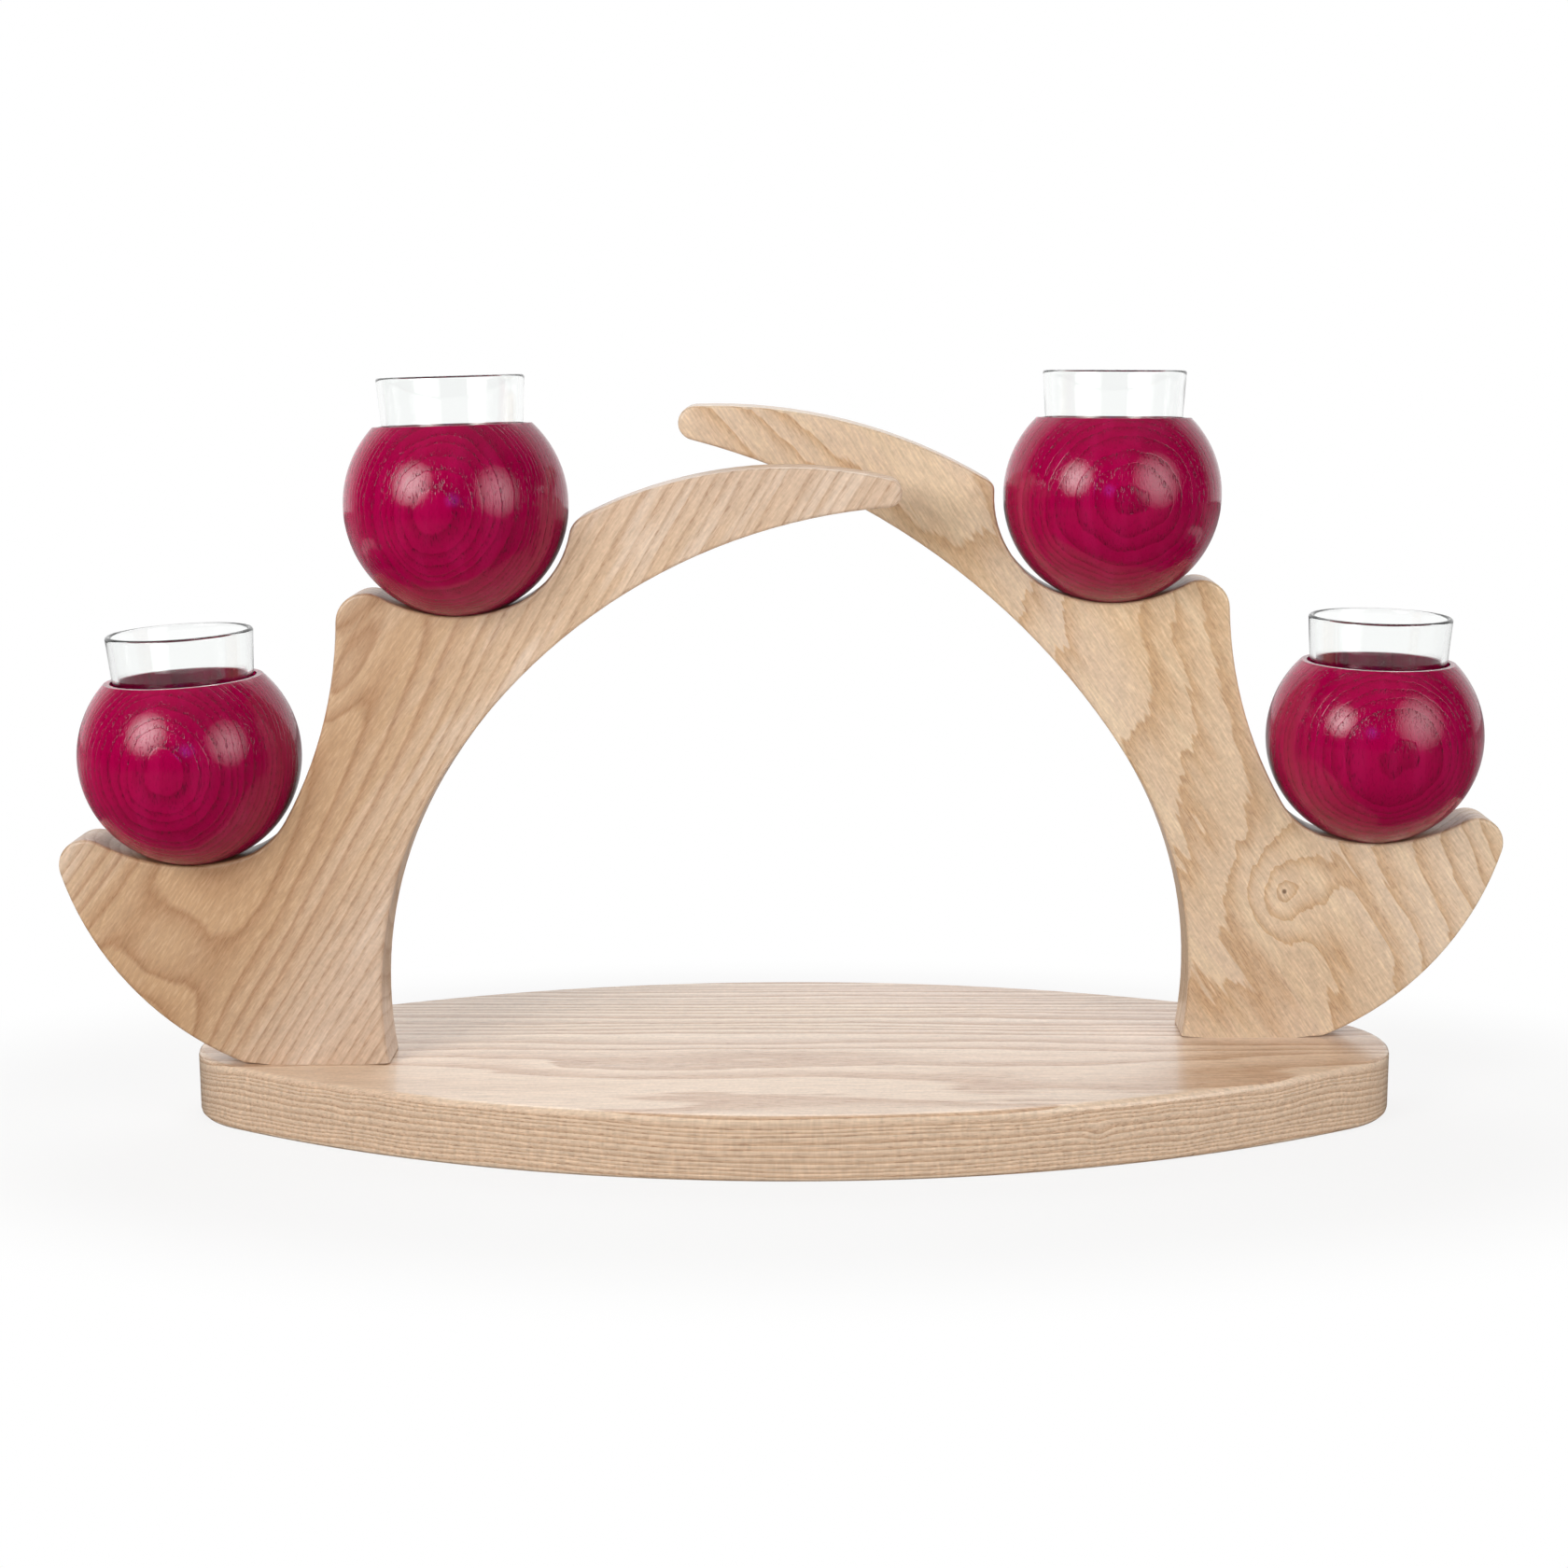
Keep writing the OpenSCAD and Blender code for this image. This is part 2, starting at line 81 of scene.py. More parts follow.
class Value:
    """One socket of a graph. A sum written on it adds the Math nodes that work it out."""

    def __init__(self, graph: Graph, socket: bpy.types.NodeSocket | None) -> None:
        """Hold a socket together with the graph that it is in. An output node has none."""
        self.graph = graph
        self.socket = socket

    def _math(self, operation: str, first: Value | float, *others: Value | float) -> Value:
        """Add a Math node on the given terms."""
        return self.graph.node(
            "ShaderNodeMath", {"operation": operation}, dict(enumerate((first, *others)))
        )

    def __add__(self, other: Value | float) -> Value:
        """Add a value or a number."""
        return self._math("ADD", self, other)

    def __radd__(self, other: float) -> Value:
        """Add to a number."""
        return self._math("ADD", other, self)

    def __sub__(self, other: Value | float) -> Value:
        """Take a value or a number away."""
        return self._math("SUBTRACT", self, other)

    def __rsub__(self, other: float) -> Value:
        """Take away from a number."""
        return self._math("SUBTRACT", other, self)

    def __mul__(self, other: Value | float) -> Value:
        """Multiply by a value or a number."""
        return self._math("MULTIPLY", self, other)

    def __rmul__(self, other: float) -> Value:
        """Multiply a number."""
        return self._math("MULTIPLY", other, self)

    def __truediv__(self, other: Value | float) -> Value:
        """Divide by a value or a number."""
        return self._math("DIVIDE", self, other)

    def __neg__(self) -> Value:
        """Turn the sign round."""
        return self._math("MULTIPLY", self, -1.0)

    def fraction(self) -> Value:
        """Give what is left over above the next lower whole number."""
        return self._math("FRACT", self)

    def floor(self) -> Value:
        """Give the next lower whole number."""
        return self._math("FLOOR", self)

    def exp(self) -> Value:
        """Give e to the power of this value."""
        return self._math("EXPONENT", self)

    def bearing(self, other: Value) -> Value:
        """Give the angle of the direction whose parts are this value and another."""
        return self._math("ARCTAN2", self, other)

    def at_least(self, other: Value | float) -> Value:
        """Give the higher of two values."""
        return self._math("MAXIMUM", self, other)

    def rise(self, low: float, high: float) -> Value:
        """Go smoothly from 0 at one level to 1 at another.

        Args:
            low: Level of this value at which the result is 0.
            high: Level of this value at which the result is 1.

        Returns:
            A share from 0 to 1.
        """
        return self.graph.node(
            "ShaderNodeMapRange",
            {"interpolation_type": "SMOOTHSTEP"},
            {"Value": self, "From Min": low, "From Max": high},
        )


class Graph:
    """The node tree of one material or of the world."""

    def __init__(self, tree: bpy.types.NodeTree) -> None:
        """Empty a node tree and write on it."""
        self.tree = tree
        tree.nodes.clear()

    def node(
        self,
        kind: str,
        settings: Mapping[str, object] | None = None,
        sockets: Mapping[str | int, object] | None = None,
        out: str | int = 0,
    ) -> Value:
        """Add one node.

        Args:
            kind: The node's type.
            settings: What is set on the node itself. A ramp's stops go under "stops".
            sockets: A value, a number or a vector for each input, by name or place.
            out: The output that is wanted, by name or place.

        Returns:
            The wanted output.
        """
        made = self.tree.nodes.new(kind)
        for name, setting in (settings or {}).items():
            if name == "stops":
                self._set_stops(made.color_ramp, setting)
            else:
                setattr(made, name, setting)
        for key, value in (sockets or {}).items():
            if isinstance(value, Value):
                self.tree.links.new(value.socket, made.inputs[key])
            else:
                made.inputs[key].default_value = value
        return Value(self, made.outputs[out] if made.outputs else None)

    @staticmethod
    def _set_stops(ramp: bpy.types.ColorRamp, stops: Sequence[tuple[float, Colour]]) -> None:
        """Put the stops on a colour ramp, which starts with two.

        Args:
            ramp: The ramp.
            stops: A place from 0 to 1 and a colour for each stop.
        """
        ordered = sorted(stops)
        for element, (place, colour) in zip(ramp.elements, (ordered[0], ordered[-1])):
            element.position = place
            element.color = colour
        for place, colour in ordered[1:-1]:
            ramp.elements.new(place).color = colour

    def point(self) -> Value:
        """Give the place in the holder's own frame, in metres."""
        return self.node("ShaderNodeTexCoord", out="Object")

    def vector(self, operation: str, first: object, second: object) -> Value:
        """Add a Vector Math node on two vectors."""
        return self.node("ShaderNodeVectorMath", {"operation": operation}, {0: first, 1: second})

    def length(self, vector: Value) -> Value:
        """Give the length of a vector."""
        return self.node("ShaderNodeVectorMath", {"operation": "LENGTH"}, {0: vector}, "Value")

    def parts(self, vector: Value) -> tuple[Value, Value, Value]:
        """Split a vector into its three numbers."""
        split = self.node("ShaderNodeSeparateXYZ", None, {0: vector}).socket.node
        return tuple(Value(self, output) for output in split.outputs)

    def ray(self, kind: str) -> Value:
        """Give 1 for rays of one kind, such as Is Camera Ray."""
        return self.node("ShaderNodeLightPath", out=kind)

    def noise(self, vector: Value, per_metre: Point, detail: float = 2.0, out: int = 0) -> Value:
        """Add a noise that is stretched differently along each direction.

        Args:
            vector: The place that it is read at.
            per_metre: Number of waves in a metre, along X, Y and Z.
            detail: Number of finer noises on top.
            out: 0 for one number, 1 for three.

        Returns:
            Numbers round a half.
        """
        stretched = self.vector("MULTIPLY", vector, per_metre)
        sockets = {"Vector": stretched, "Scale": 1.0, "Detail": detail}
        return self.node("ShaderNodeTexNoise", None, sockets, out)

    def noise_along(self, distance: Value) -> Value:
        """Add a noise that runs along one number."""
        sockets = {"W": distance, "Scale": 1.0, "Detail": 1.0}
        return self.node("ShaderNodeTexNoise", {"noise_dimensions": "1D"}, sockets)

    def wander(self, vector: Value, per_metre: Point, detail: float, reach: Point) -> Value:
        """Give a vector that wanders to both sides of zero.

        Args:
            vector: The place that it is read at.
            per_metre: Number of waves in a metre, along X, Y and Z.
            detail: Number of finer noises on top.
            reach: Full width of the wandering along X, Y and Z, in metres.

        Returns:
            The vector.
        """
        centred = self.vector("SUBTRACT", self.noise(vector, per_metre, detail, 1), (MIDDLE,) * 3)
        return self.vector("MULTIPLY", centred, reach)

    def grey(self, shade: Value) -> Value:
        """Give a grey of the given lightness."""
        return self.node("ShaderNodeCombineColor", None, {0: shade, 1: shade, 2: shade})

    def mix(self, share: Value | float, first: object, second: object, blend: str = "MIX") -> Value:
        """Mix two colours.

        Args:
            share: Share of the second colour.
            first: The first colour.
            second: The second colour.
            blend: How the second is laid over the first.

        Returns:
            The mixed colour.
        """
        settings = {"data_type": "RGBA", "blend_type": blend}
        return self.node("ShaderNodeMix", settings, {0: share, 6: first, 7: second}, 2)

    def bump(self, height: Value, strength: float, depth: float) -> Value:
        """Turn a height into a normal.

        Args:
            height: Height as a share.
            strength: Share of the effect.
            depth: Depth in metres of a height of one.

        Returns:
            The normal.
        """
        sockets = {"Strength": strength, "Distance": depth, "Height": height}
        return self.node("ShaderNodeBump", None, sockets)


def new_material(name: str) -> tuple[bpy.types.Material, Graph]:
    """Make an empty material.

    Args:
        name: Name of the material.

    Returns:
        The material and the graph on its node tree.
    """
    material = bpy.data.materials.new(name)
    material.use_nodes = True
    return material, Graph(material.node_tree)


@dataclass(frozen=True)
class Knot:
    """A place that the year rings bend round: a small branch or a swirl, in metres."""

    place: Point
    spread: float
    lift: float
    core: float = 0.0
    ragged: float = 0.45
    stretch: float = 1.0


@dataclass(frozen=True)
class Trunk:
    """The trunk that a piece was cut from, placed in the holder's frame, in metres."""

    pith: Point
    fibre: Point
    ring: float
    sway: float
    sway_waves: Point
    jag: float
    flame: float = 0.0
    flame_waves: Point = (190.0, 190.0, 13.0)
    heart: tuple[float, float] = (0.0, 0.001)
    reach: float = 0.1
    vessel_waves: Point = (2300.0, 2300.0, 170.0)
    year_stops: tuple[tuple[float, float], ...] = (
        (0.0, 0.0), (0.06, 1.0), (0.22, 0.66), (0.45, 0.25), (0.75, 0.06), (1.0, 0.0),
    )
    knots: tuple[Knot, ...] = ()

    def turn(self) -> Matrix:
        """Give the turn that lays the fibres along Z.

        Returns:
            The turn.
        """
        along = Vector(self.fibre).normalized()
        across = along.cross(Vector((0.0, 1.0, 0.0))).normalized()
        return Matrix((across, along.cross(across), along))

    def from_pith(self, graph: Graph) -> Value:
        """Give the place across the trunk in X and Y and along it in Z.

        Args:
            graph: The graph to add it to.

        Returns:
            The place seen from the pith, in metres.
        """
        turn = self.turn()
        return graph.node(
            "ShaderNodeMapping",
            {"vector_type": "POINT"},
            {
                "Vector": graph.point(),
                "Location": -(turn @ Vector(self.pith)),
                "Rotation": turn.to_euler("XYZ"),
            },
        )


@dataclass(frozen=True)
class Figure:
    """What the growth of the wood gives at a place, for a finish to turn into colour.

    The fibres, strokes, rays and drift are noises round a half, the year is one random number
    for each year, and the rest are shares from 0 to 1.
    """

    early: Value
    pores: Value
    fibres: Value
    strokes: Value
    streaks: Value
    rays: Value
    year: Value
    drift: Value
    heart: Value
    knot: Value


@dataclass(frozen=True)
class Growth:
    """Grows the figure of a piece out of its trunk: bent year rings, pores, rays and fibres.

    What ends in waves is a number of waves in a metre across, up and along the trunk. What
    ends in range gives the levels of a noise that make a share of 0 and of 1.
    """

    trunk: Trunk
    ray_waves: Point = (900.0, 170.0, 800.0)
    uneven_waves: float = 0.31
    uneven_years: float = 1.6
    pore_range: tuple[float, float] = (0.54, 0.68)
    late_pores: float = 0.2
    fibre_waves: Point = (1300.0, 1300.0, 16.0)
    stroke_waves: Point = (1500.0, 1500.0, 105.0)
    streak_waves: Point = (150.0, 150.0, 5.0)
    streak_range: tuple[float, float] = (0.46, 0.66)
    drift_waves: Point = (14.0, 14.0, 4.0)
    jag_waves: Point = (750.0, 750.0, 30.0)
    fray_waves: Point = (90.0, 90.0, 45.0)
    knot_flatness: float = 0.25
    core_edge: float = 0.4

    def figure(self, graph: Graph) -> Figure:
        """Work out the figure.

        Args:
            graph: The graph to add it to.

        Returns:
            The figure.
        """
        place = self.trunk.from_pith(graph)
        radius, knot = self._bent_radius(graph, place)
        across, up, along = graph.parts(place)
        round_waves, out_waves, along_waves = self.ray_waves
        turned = across.bearing(up) * (round_waves * self.trunk.reach)
        sheet = graph.node(
            "ShaderNodeCombineXYZ", None, {0: turned, 1: radius * out_waves, 2: along * along_waves}
        )
        years = radius / self.trunk.ring
        years = years + (graph.noise_along(years * self.uneven_waves) - MIDDLE) * self.uneven_years
        stops = tuple((at, (share, share, share, 1.0)) for at, share in self.trunk.year_stops)
        ramp = graph.node("ShaderNodeValToRGB", {"stops": stops}, {"Fac": years.fraction()})
        early = graph.node("ShaderNodeSeparateColor", None, {0: ramp})
        vessels = graph.noise(place, self.trunk.vessel_waves, 1.0)
        return Figure(
            early=early,
            pores=vessels.rise(*self.pore_range) * (self.late_pores + (1.0 - self.late_pores) * early),
            fibres=graph.noise(place, self.fibre_waves, 3.0),
            strokes=graph.noise(place, self.stroke_waves, 2.0),
            streaks=graph.noise(place, self.streak_waves, 2.0).rise(*self.streak_range),
            rays=graph.noise(sheet, (1.0, 1.0, 1.0), 1.0),
            year=graph.node("ShaderNodeTexWhiteNoise", {"noise_dimensions": "1D"}, {"W": years.floor()}),
            drift=graph.noise(place, self.drift_waves, 2.0),
            heart=1.0 - radius.rise(*self.trunk.heart),
            knot=knot,
        )

    def _bent_radius(self, graph: Graph, place: Value) -> tuple[Value, Value]:
        """Give the distance from the pith with all that bends the rings.

        Args:
            graph: The graph to add it to.
            place: The place across and along the trunk.

        Returns:
            The distance in metres, and the share of the dark core of a knot.
        """
        trunk = self.trunk
        sway = graph.wander(place, trunk.sway_waves, 3.0, (trunk.sway, trunk.sway, 0.0))
        swayed = graph.vector("ADD", place, sway)
        radius = graph.length(graph.vector("MULTIPLY", swayed, (1.0, 1.0, 0.0)))
        radius = radius + (graph.noise(place, self.jag_waves, 1.0) - MIDDLE) * trunk.jag
        if trunk.flame:
            radius = radius + (graph.noise(place, trunk.flame_waves, 2.0) - MIDDLE) * trunk.flame
        core = 0.0 * radius
        for knot in trunk.knots:
            fray = graph.wander(place, self.fray_waves, 3.0, (knot.spread * knot.ragged,) * 3)
            middle = trunk.turn() @ (Vector(knot.place) - Vector(trunk.pith))
            offset = graph.vector("ADD", graph.vector("SUBTRACT", place, middle), fray)
            squeezed = graph.vector("MULTIPLY", offset, (1.0, self.knot_flatness, 1.0 / knot.stretch))
            away = graph.length(squeezed) / knot.spread
            radius = radius + knot.lift * (-(away * away)).exp()
            if knot.core:
                dark = knot.core / knot.spread
                core = core.at_least(1.0 - away.rise(self.core_edge * dark, dark))
        return radius, core


@dataclass(frozen=True)
class LacqueredAsh:
    """Pale ash under a thin clear lacquer, its year rings drawn by rows of open pores.

    What ends in share says how strongly a colour is laid on, and what ends in shade how far
    the figure lightens and darkens it. The blush sets in between the heights blush_above.
    """

    name: str
    trunk: Trunk
    late: Colour
    early: Colour
    blush: Colour
    pale: Colour
    heart: Colour
    pore: Colour
    early_share: float
    pore_share: float
    streak_share: float
    roughness: float
    lacquer: float
    lacquer_roughness: float
    grain_share: float = 1.0
    heart_lines: float = 0.0
    dash_share: float = 0.0
    blush_above: tuple[float, float] = (1.0, 1.1)
    core: Colour = shown(98, 62, 40)
    core_share: float = 0.85
    blush_range: tuple[float, float] = (0.38, 0.62)
    dash_range: tuple[float, float] = (0.52, 0.68)
    shade: float = 0.93
    year_shade: float = 0.05
    fibre_shade: float = 0.2
    stroke_shade: float = 0.4
    ray_shade: float = 0.22
    early_depth: float = 0.12
    relief: float = 0.3
    relief_depth: float = 0.00008
    pore_roughness: float = 0.15
    gloss: float = 0.5
    lacquer_bend: float = 1.5

    def material(self) -> bpy.types.Material:
        """Build the material.

        Returns:
            The material.
        """
        material, graph = new_material(self.name)
        wood = Growth(self.trunk).figure(graph)
        height = graph.parts(graph.point())[2]
        blush = wood.drift.rise(*self.blush_range).at_least(height.rise(*self.blush_above))
        ground = graph.mix(blush, self.late, self.blush)
        ground = graph.mix(wood.streaks * self.streak_share, ground, self.pale)
        ground = graph.mix(wood.heart, ground, self.heart)
        ground = graph.mix(wood.strokes.rise(*self.dash_range) * self.dash_share, ground, self.pale)
        lines = wood.early * (self.early_share + self.heart_lines * wood.heart)
        colour = graph.mix(lines, ground, self.early)
        colour = graph.mix(wood.pores * self.pore_share, colour, self.pore)
        grain = (
            self.fibre_shade * (wood.fibres - MIDDLE)
            + self.stroke_shade * (wood.strokes - MIDDLE)
            + self.ray_shade * (wood.rays - MIDDLE)
        )
        shade = self.shade + self.year_shade * wood.year + self.grain_share * grain
        colour = graph.mix(1.0, colour, graph.grey(shade), "MULTIPLY")
        colour = graph.mix(wood.knot * self.core_share, colour, self.core)
        depth = 1.0 - wood.pores - self.early_depth * wood.early
        surface = graph.node(
            "ShaderNodeBsdfPrincipled",
            None,
            {
                "Base Color": colour,
                "Roughness": self.roughness + self.pore_roughness * wood.pores,
                "Specular IOR Level": self.gloss,
                "Normal": graph.bump(depth, self.relief, self.relief_depth),
                "Coat Weight": self.lacquer,
                "Coat IOR": self.lacquer_bend,
                "Coat Roughness": self.lacquer_roughness,
            },
        )
        graph.node("ShaderNodeOutputMaterial", None, {"Surface": surface})
        return material


@dataclass(frozen=True)
class CrimsonStain:
    """Ash that was turned, stained crimson and given a satin lacquer."""

    name: str
    trunk: Trunk
    light: Colour = shown(143, 0, 57)
    deep: Colour = shown(111, 0, 39)
    pore: Colour = shown(52, 0, 22)
    bloom: Colour = shown(184, 30, 94)
    early_share: float = 0.65
    bloom_share: float = 0.12
    pore_share: float = 0.65
    shade: float = 0.93
    year_shade: float = 0.07
    stroke_shade: float = 0.16
    pore_depth: float = 0.6
    early_depth: float = 0.3
    relief: float = 0.7
    relief_depth: float = 0.00016
    roughness: float = 0.1
    pore_roughness: float = 0.06
    gloss: float = 0.34

    def material(self) -> bpy.types.Material:
        """Build the material.

        Returns:
            The material.
        """
        material, graph = new_material(self.name)
        wood = Growth(self.trunk).figure(graph)
        colour = graph.mix(wood.early * self.early_share, self.light, self.deep)
        colour = graph.mix(wood.streaks * self.bloom_share, colour, self.bloom)
        colour = graph.mix(wood.pores * self.pore_share, colour, self.pore)
        strokes = self.stroke_shade * (wood.strokes - MIDDLE)
        shade = self.shade + self.year_shade * wood.year + strokes
        colour = graph.mix(1.0, colour, graph.grey(shade), "MULTIPLY")
        height = 1.0 - self.pore_depth * wood.pores - self.early_depth * wood.early
        surface = graph.node(
            "ShaderNodeBsdfPrincipled",
            None,
            {
                "Base Color": colour,
                "Roughness": self.roughness + self.pore_roughness * wood.pores,
                "Specular IOR Level": self.gloss,
                "Normal": graph.bump(height, self.relief, self.relief_depth),
            },
        )
        graph.node("ShaderNodeOutputMaterial", None, {"Surface": surface})
        return material


@dataclass(frozen=True)
class ClearGlass:
    """Pressed clear glass with slow waves in its walls."""

    name: str = "clear_glass"
    tint: Colour = (0.985, 0.995, 0.99, 1.0)
    bend: float = 1.5
    wall_waves: Point = (60.0, 60.0, 45.0)
    relief: float = 0.15
    relief_depth: float = 0.001

    def material(self) -> bpy.types.Material:
        """Build the material.

        Returns:
            The material.
        """
        material, graph = new_material(self.name)
        waves = graph.noise(graph.point(), self.wall_waves, 1.0)
        surface = graph.node(
            "ShaderNodeBsdfPrincipled",
            None,
            {
                "Base Color": self.tint,
                "Roughness": 0.0,
                "IOR": self.bend,
                "Transmission Weight": 1.0,
                "Normal": graph.bump(waves, self.relief, self.relief_depth),
            },
        )
        graph.node("ShaderNodeOutputMaterial", None, {"Surface": surface})
        return material


@dataclass(frozen=True)
class PlainBeech:
    """Raw beech of the dowels, with short dark flecks along the fibres."""

    name: str = "plain_beech"
    ground: Colour = shown(214, 176, 138)
    fleck: Colour = shown(160, 112, 78)
    fleck_waves: Point = (1500.0, 1500.0, 260.0)
    fleck_range: tuple[float, float] = (0.6, 0.72)
    roughness: float = 0.6
    fleck_roughness: float = 0.1
    relief: float = 0.3
    relief_depth: float = 0.00005

    def material(self) -> bpy.types.Material:
        """Build the material.

        Returns:
            The material.
        """
        material, graph = new_material(self.name)
        flecks = graph.noise(graph.point(), self.fleck_waves, 1.0).rise(*self.fleck_range)
        surface = graph.node(
            "ShaderNodeBsdfPrincipled",
            None,
            {
                "Base Color": graph.mix(flecks, self.ground, self.fleck),
                "Roughness": self.roughness + self.fleck_roughness * flecks,
                "Normal": graph.bump(1.0 - flecks, self.relief, self.relief_depth),
            },
        )
        graph.node("ShaderNodeOutputMaterial", None, {"Surface": surface})
        return material


@dataclass(frozen=True)
class ZincSteel:
    """Bright zinc on steel, a little clouded."""

    name: str = "zinc_steel"
    bright: Colour = (0.66, 0.66, 0.63, 1.0)
    dull: Colour = (0.5, 0.5, 0.47, 1.0)
    cloud_waves: Point = (420.0, 420.0, 420.0)
    dull_range: tuple[float, float] = (0.4, 0.6)
    roughness: float = 0.25
    cloud_roughness: float = 0.2

    def material(self) -> bpy.types.Material:
        """Build the material.

        Returns:
            The material.
        """
        material, graph = new_material(self.name)
        cloud = graph.noise(graph.point(), self.cloud_waves, 3.0)
        surface = graph.node(
            "ShaderNodeBsdfPrincipled",
            None,
            {
                "Base Color": graph.mix(cloud.rise(*self.dull_range), self.bright, self.dull),
                "Metallic": 1.0,
                "Roughness": self.roughness + self.cloud_roughness * cloud,
            },
        )
        graph.node("ShaderNodeOutputMaterial", None, {"Surface": surface})
        return material


def dress(node: str, material: bpy.types.Material) -> None:
    """Give a CAD node's object a better material.

    Args:
        node: Name of the node.
        material: The material for all of it.
    """
    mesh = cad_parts[node].data
    mesh.materials.clear()
    mesh.materials.append(material)
    LOG.info("%s: dressed in %s", node, material.name)


class Place(Enum):
    """The four places of a ball and its glass, as they are named in the model."""

    LOWER_LEFT = "lower_left"
    UPPER_LEFT = "upper_left"
    UPPER_RIGHT = "upper_right"
    LOWER_RIGHT = "lower_right"


@dataclass(frozen=True)
class BasePlate:
    """The boat-shaped base: flat-sawn ash with the pith deep below its front half."""

    node: str = "base_plate"
    knot_places: tuple[Point, ...] = ((-0.149, -0.07, 0.0146), (0.101, -0.078, 0.0121))

    def build(self) -> None:
        """Dress the base."""
        trunk = Trunk(
            pith=(0.0, -0.055, -0.2009),
            fibre=(1.0, 0.0, 0.003),
            ring=0.0019,
            sway=0.011,
            sway_waves=(8.0, 8.0, 2.4),
            jag=0.0004,
            flame=0.004,
            flame_waves=(55.0, 55.0, 7.0),
            heart=(0.223, 0.237),
            reach=0.2,
            year_stops=(
                (0.0, 0.0), (0.07, 1.0), (0.35, 0.75), (0.6, 0.35), (0.85, 0.05), (1.0, 0.0),
            ),
            knots=tuple(
                Knot(place, spread=0.004, lift=0.002, core=0.0011) for place in self.knot_places
            ),
        )
        finish = LacqueredAsh(
            name="base_ash",
            trunk=trunk,
            late=shown(236, 214, 189),
            early=shown(192, 153, 121),
            blush=shown(236, 212, 193),
            pale=shown(242, 226, 208),
            heart=shown(230, 205, 180),
            pore=shown(146, 102, 70),
            early_share=1.0,
            pore_share=0.5,
            streak_share=0.4,
            roughness=0.4,
            lacquer=0.72,
            lacquer_roughness=0.14,
            grain_share=1.3,
            heart_lines=-0.2,
        )
        dress(self.node, finish.material())


@dataclass(frozen=True)
class Arch:
    """One half arch, sawn from a board whose fibres run up along its arm."""

    node: str
    trunk: Trunk
    late: Colour
    early: Colour
    blush: Colour
    pale: Colour
    heart: Colour
    early_share: float
    pore_share: float
    streak_share: float
    grain_share: float
    dash_share: float
    heart_lines: float = 0.0

    def build(self) -> None:
        """Dress the arch."""
        finish = LacqueredAsh(
            name=self.node + "_ash",
            trunk=self.trunk,
            late=self.late,
            early=self.early,
            blush=self.blush,
            pale=self.pale,
            heart=self.heart,
            pore=shown(150, 104, 70),
            early_share=self.early_share,
            pore_share=self.pore_share,
            streak_share=self.streak_share,
            roughness=0.5,
            lacquer=0.55,
            lacquer_roughness=0.24,
            grain_share=self.grain_share,
            heart_lines=self.heart_lines,
            dash_share=self.dash_share,
            blush_above=(0.18, 0.235),
        )
        dress(self.node, finish.material())


@dataclass(frozen=True)
class TurnedBall:
    """A turned ball, its year rings lying across the line of sight like the coats of an onion."""

    place: Place
    centre: Point
    pith_shift: Point
    fibre: Point
    ring: float = 0.0023

    def build(self) -> None:
        """Dress the ball."""
        trunk = Trunk(
            pith=tuple(a + b for a, b in zip(self.centre, self.pith_shift)),
            fibre=self.fibre,
            ring=self.ring,
            sway=0.009,
            sway_waves=(26.0, 26.0, 15.0),
            jag=0.00035,
            vessel_waves=(1900.0, 1900.0, 420.0),
        )
        name = "ball_" + self.place.value
        dress(name, CrimsonStain(name + "_stain", trunk).material())


